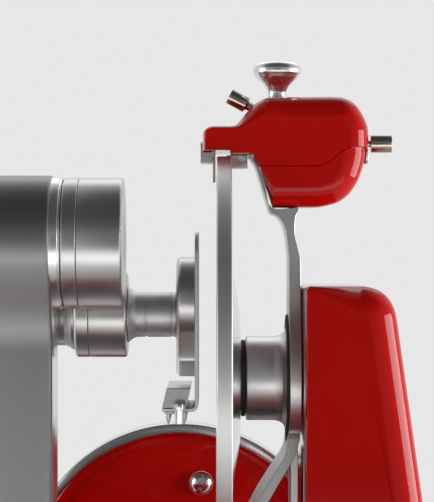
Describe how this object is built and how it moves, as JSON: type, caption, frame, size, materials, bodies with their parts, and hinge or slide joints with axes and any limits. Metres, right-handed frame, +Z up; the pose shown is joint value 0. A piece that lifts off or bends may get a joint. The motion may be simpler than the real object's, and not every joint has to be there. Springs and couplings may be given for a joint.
{
  "type": "hand_crank_meat_slicer",
  "caption": "Hand cranked flywheel meat slicer in red enamel and polished metal, with a round knife in a guard ring, a sharpener and a sliding carriage with a spiked meat press",
  "frame": {"origin": "middle of the footprint of the whole machine, at the undersides of the feet", "axes": "+Z up; +X along the knife's axis, from the meat side towards the upright housing; +Y along the carriage rails, towards the flywheel"},
  "size_m": [0.5546, 0.6906, 0.628],
  "materials": {
    "red_enamel": "deep red gloss enamel on cast metal",
    "cast_aluminium": "machined and satin polished casting",
    "press_aluminium": "turned and polished, fine brushing round the axis",
    "ring_steel": "brushed stainless",
    "sheet_steel": "brushed stainless sheet",
    "polished_steel": "mirror polished",
    "machine_steel": "oiled machine steel",
    "bearing_bronze": "turned bearing bronze",
    "foot_rubber": "black rubber",
    "grip_plastic": "polished black",
    "abrasive_stone": "fine bonded grit"
  },
  "bodies": {
    "base": {"base_casting": "red_enamel", "base_plate": "sheet_steel", "rubber_foot_1": "foot_rubber", "rubber_foot_2": "foot_rubber", "rubber_foot_3": "foot_rubber", "rubber_foot_4": "foot_rubber", "upright_housing": "red_enamel", "support_arm": "cast_aluminium", "guard_ring": "ring_steel", "hub_housing": "cast_aluminium", "knife_bearing": "bearing_bronze", "hub_gasket": "foot_rubber", "flywheel_bush": "cast_aluminium", "gear_bracket": "cast_aluminium", "drive_chain": "machine_steel", "carriage_rail_left": "polished_steel", "carriage_rail_right": "polished_steel", "slice_tray": "sheet_steel", "sharpener_cover": "red_enamel", "sharpener_housing": "red_enamel", "clamp_tab": "ring_steel", "honing_holder": "cast_aluminium", "grinding_holder": "cast_aluminium"},
    "knife_unit": {"knife": "polished_steel", "knife_cover": "polished_steel", "knife_shaft": "machine_steel"},
    "flywheel": {"flywheel_rim": "polished_steel", "flywheel_disc": "red_enamel", "flywheel_shaft": "machine_steel", "drive_gear": "machine_steel", "crank_pin": "polished_steel", "crank_nut": "polished_steel"},
    "crank_handle": {"crank_grip": "grip_plastic"},
    "cross_shaft": {"pinion_shaft": "machine_steel", "lower_chain_wheel": "machine_steel"},
    "carriage": {"carriage_frame": "cast_aluminium", "meat_table": "sheet_steel"},
    "feed_drive": {"feed_screw": "polished_steel", "feed_handwheel": "cast_aluminium"},
    "press_stand": {"press_saddle": "bearing_bronze", "press_column": "press_aluminium", "pivot_pin": "polished_steel"},
    "press_arm": {"press_link": "press_aluminium", "link_cap": "press_aluminium", "spindle_cap": "press_aluminium"},
    "gripper": {"gripper_spindle": "ring_steel", "lock_knob": "press_aluminium", "gripper_boss": "press_aluminium", "gripper_plate": "ring_steel", "claw_block": "press_aluminium", "gripper_spikes": "ring_steel", "stop_pin": "polished_steel"},
    "gauge": {"gauge_plate": "sheet_steel"},
    "gauge_drive": {"gauge_screw": "polished_steel", "gauge_knob": "grip_plastic"},
    "sharpener_lock": {"mushroom_knob": "polished_steel"},
    "grinding_button": {"grinding_plunger": "ring_steel"},
    "honing_button": {"honing_plunger": "ring_steel"},
    "honing_wheel": {"honing_stone": "abrasive_stone"},
    "grinding_wheel": {"grinding_stone": "abrasive_stone"}
  },
  "joints": [
    {"name": "flywheel_spin", "type": "hinge", "parent": "base", "child": "flywheel", "pos_m": [0.037, 0.2077, 0.1685], "axis": [0, 1, 0], "continuous": true},
    {"name": "grip_spin", "type": "hinge", "parent": "flywheel", "child": "crank_handle", "pos_m": [0.05646, 0.2297, 0.26005], "axis": [0, 1, 0], "continuous": true},
    {"name": "cross_spin", "type": "hinge", "parent": "base", "child": "cross_shaft", "pos_m": [0.161, -0.1103, 0.1685], "axis": [1, 0, 0], "continuous": true},
    {"name": "knife_spin", "type": "hinge", "parent": "base", "child": "knife_unit", "pos_m": [0.077, -0.1103, 0.38], "axis": [1, 0, 0], "continuous": true},
    {"name": "carriage_travel", "type": "slide", "parent": "base", "child": "carriage", "axis": [0, 1, 0], "range_m": [-0.095, 0.095]},
    {"name": "feed_turn", "type": "hinge", "parent": "carriage", "child": "feed_drive", "pos_m": [-0.223, -0.1303, 0.241], "axis": [1, 0, 0], "range_deg": [-1, 3961]},
    {"name": "press_feed", "type": "slide", "parent": "carriage", "child": "press_stand", "axis": [1, 0, 0], "range_m": [-0.11, 0]},
    {"name": "press_lift", "type": "hinge", "parent": "press_stand", "child": "press_arm", "pos_m": [-0.0504, -0.1803, 0.4858], "axis": [1, 0, 0], "range_deg": [-10, 45]},
    {"name": "gripper_tilt", "type": "hinge", "parent": "press_arm", "child": "gripper", "pos_m": [0.0398, -0.1103, 0.4301], "axis": [1, 0, 0], "range_deg": [-20, 20]},
    {"name": "gauge_turn", "type": "hinge", "parent": "base", "child": "gauge_drive", "pos_m": [0.255, 0.0797, 0.2118], "axis": [1, 0, 0], "range_deg": [-271, 1]},
    {"name": "gauge_travel", "type": "slide", "parent": "base", "child": "gauge", "axis": [1, 0, 0], "range_m": [0, 0.012]},
    {"name": "lock_turn", "type": "hinge", "parent": "base", "child": "sharpener_lock", "pos_m": [0.1188, -0.1103, 0.6], "axis": [0, 0, 1], "range_deg": [0, 360]},
    {"name": "grinding_push", "type": "slide", "parent": "base", "child": "grinding_button", "axis": [1, 0, 0], "range_m": [-0.0022, 0], "stiffness_N_per_m": 500, "springref_m": 0.0005},
    {"name": "honing_push", "type": "slide", "parent": "base", "child": "honing_button", "axis": [-0.8805, 0, 0.4741], "range_m": [-0.0018, 0], "stiffness_N_per_m": 500, "springref_m": 0.0005},
    {"name": "honing_spin", "type": "hinge", "parent": "base", "child": "honing_wheel", "pos_m": [0.0683, -0.1103, 0.5528], "axis": [1, 0, 0], "continuous": true},
    {"name": "grinding_spin", "type": "hinge", "parent": "base", "child": "grinding_wheel", "pos_m": [0.0752, -0.1103, 0.532], "axis": [1, 0, 0], "continuous": true}
  ],
  "couplings": [
    {"joint": "cross_spin", "follows": "flywheel_spin", "ratio": -1},
    {"joint": "knife_spin", "follows": "flywheel_spin", "ratio": -3},
    {"joint": "feed_turn", "follows": "press_feed", "rad_per_m": -628.32},
    {"joint": "gauge_turn", "follows": "gauge_travel", "rad_per_m": -392.7}
  ]
}
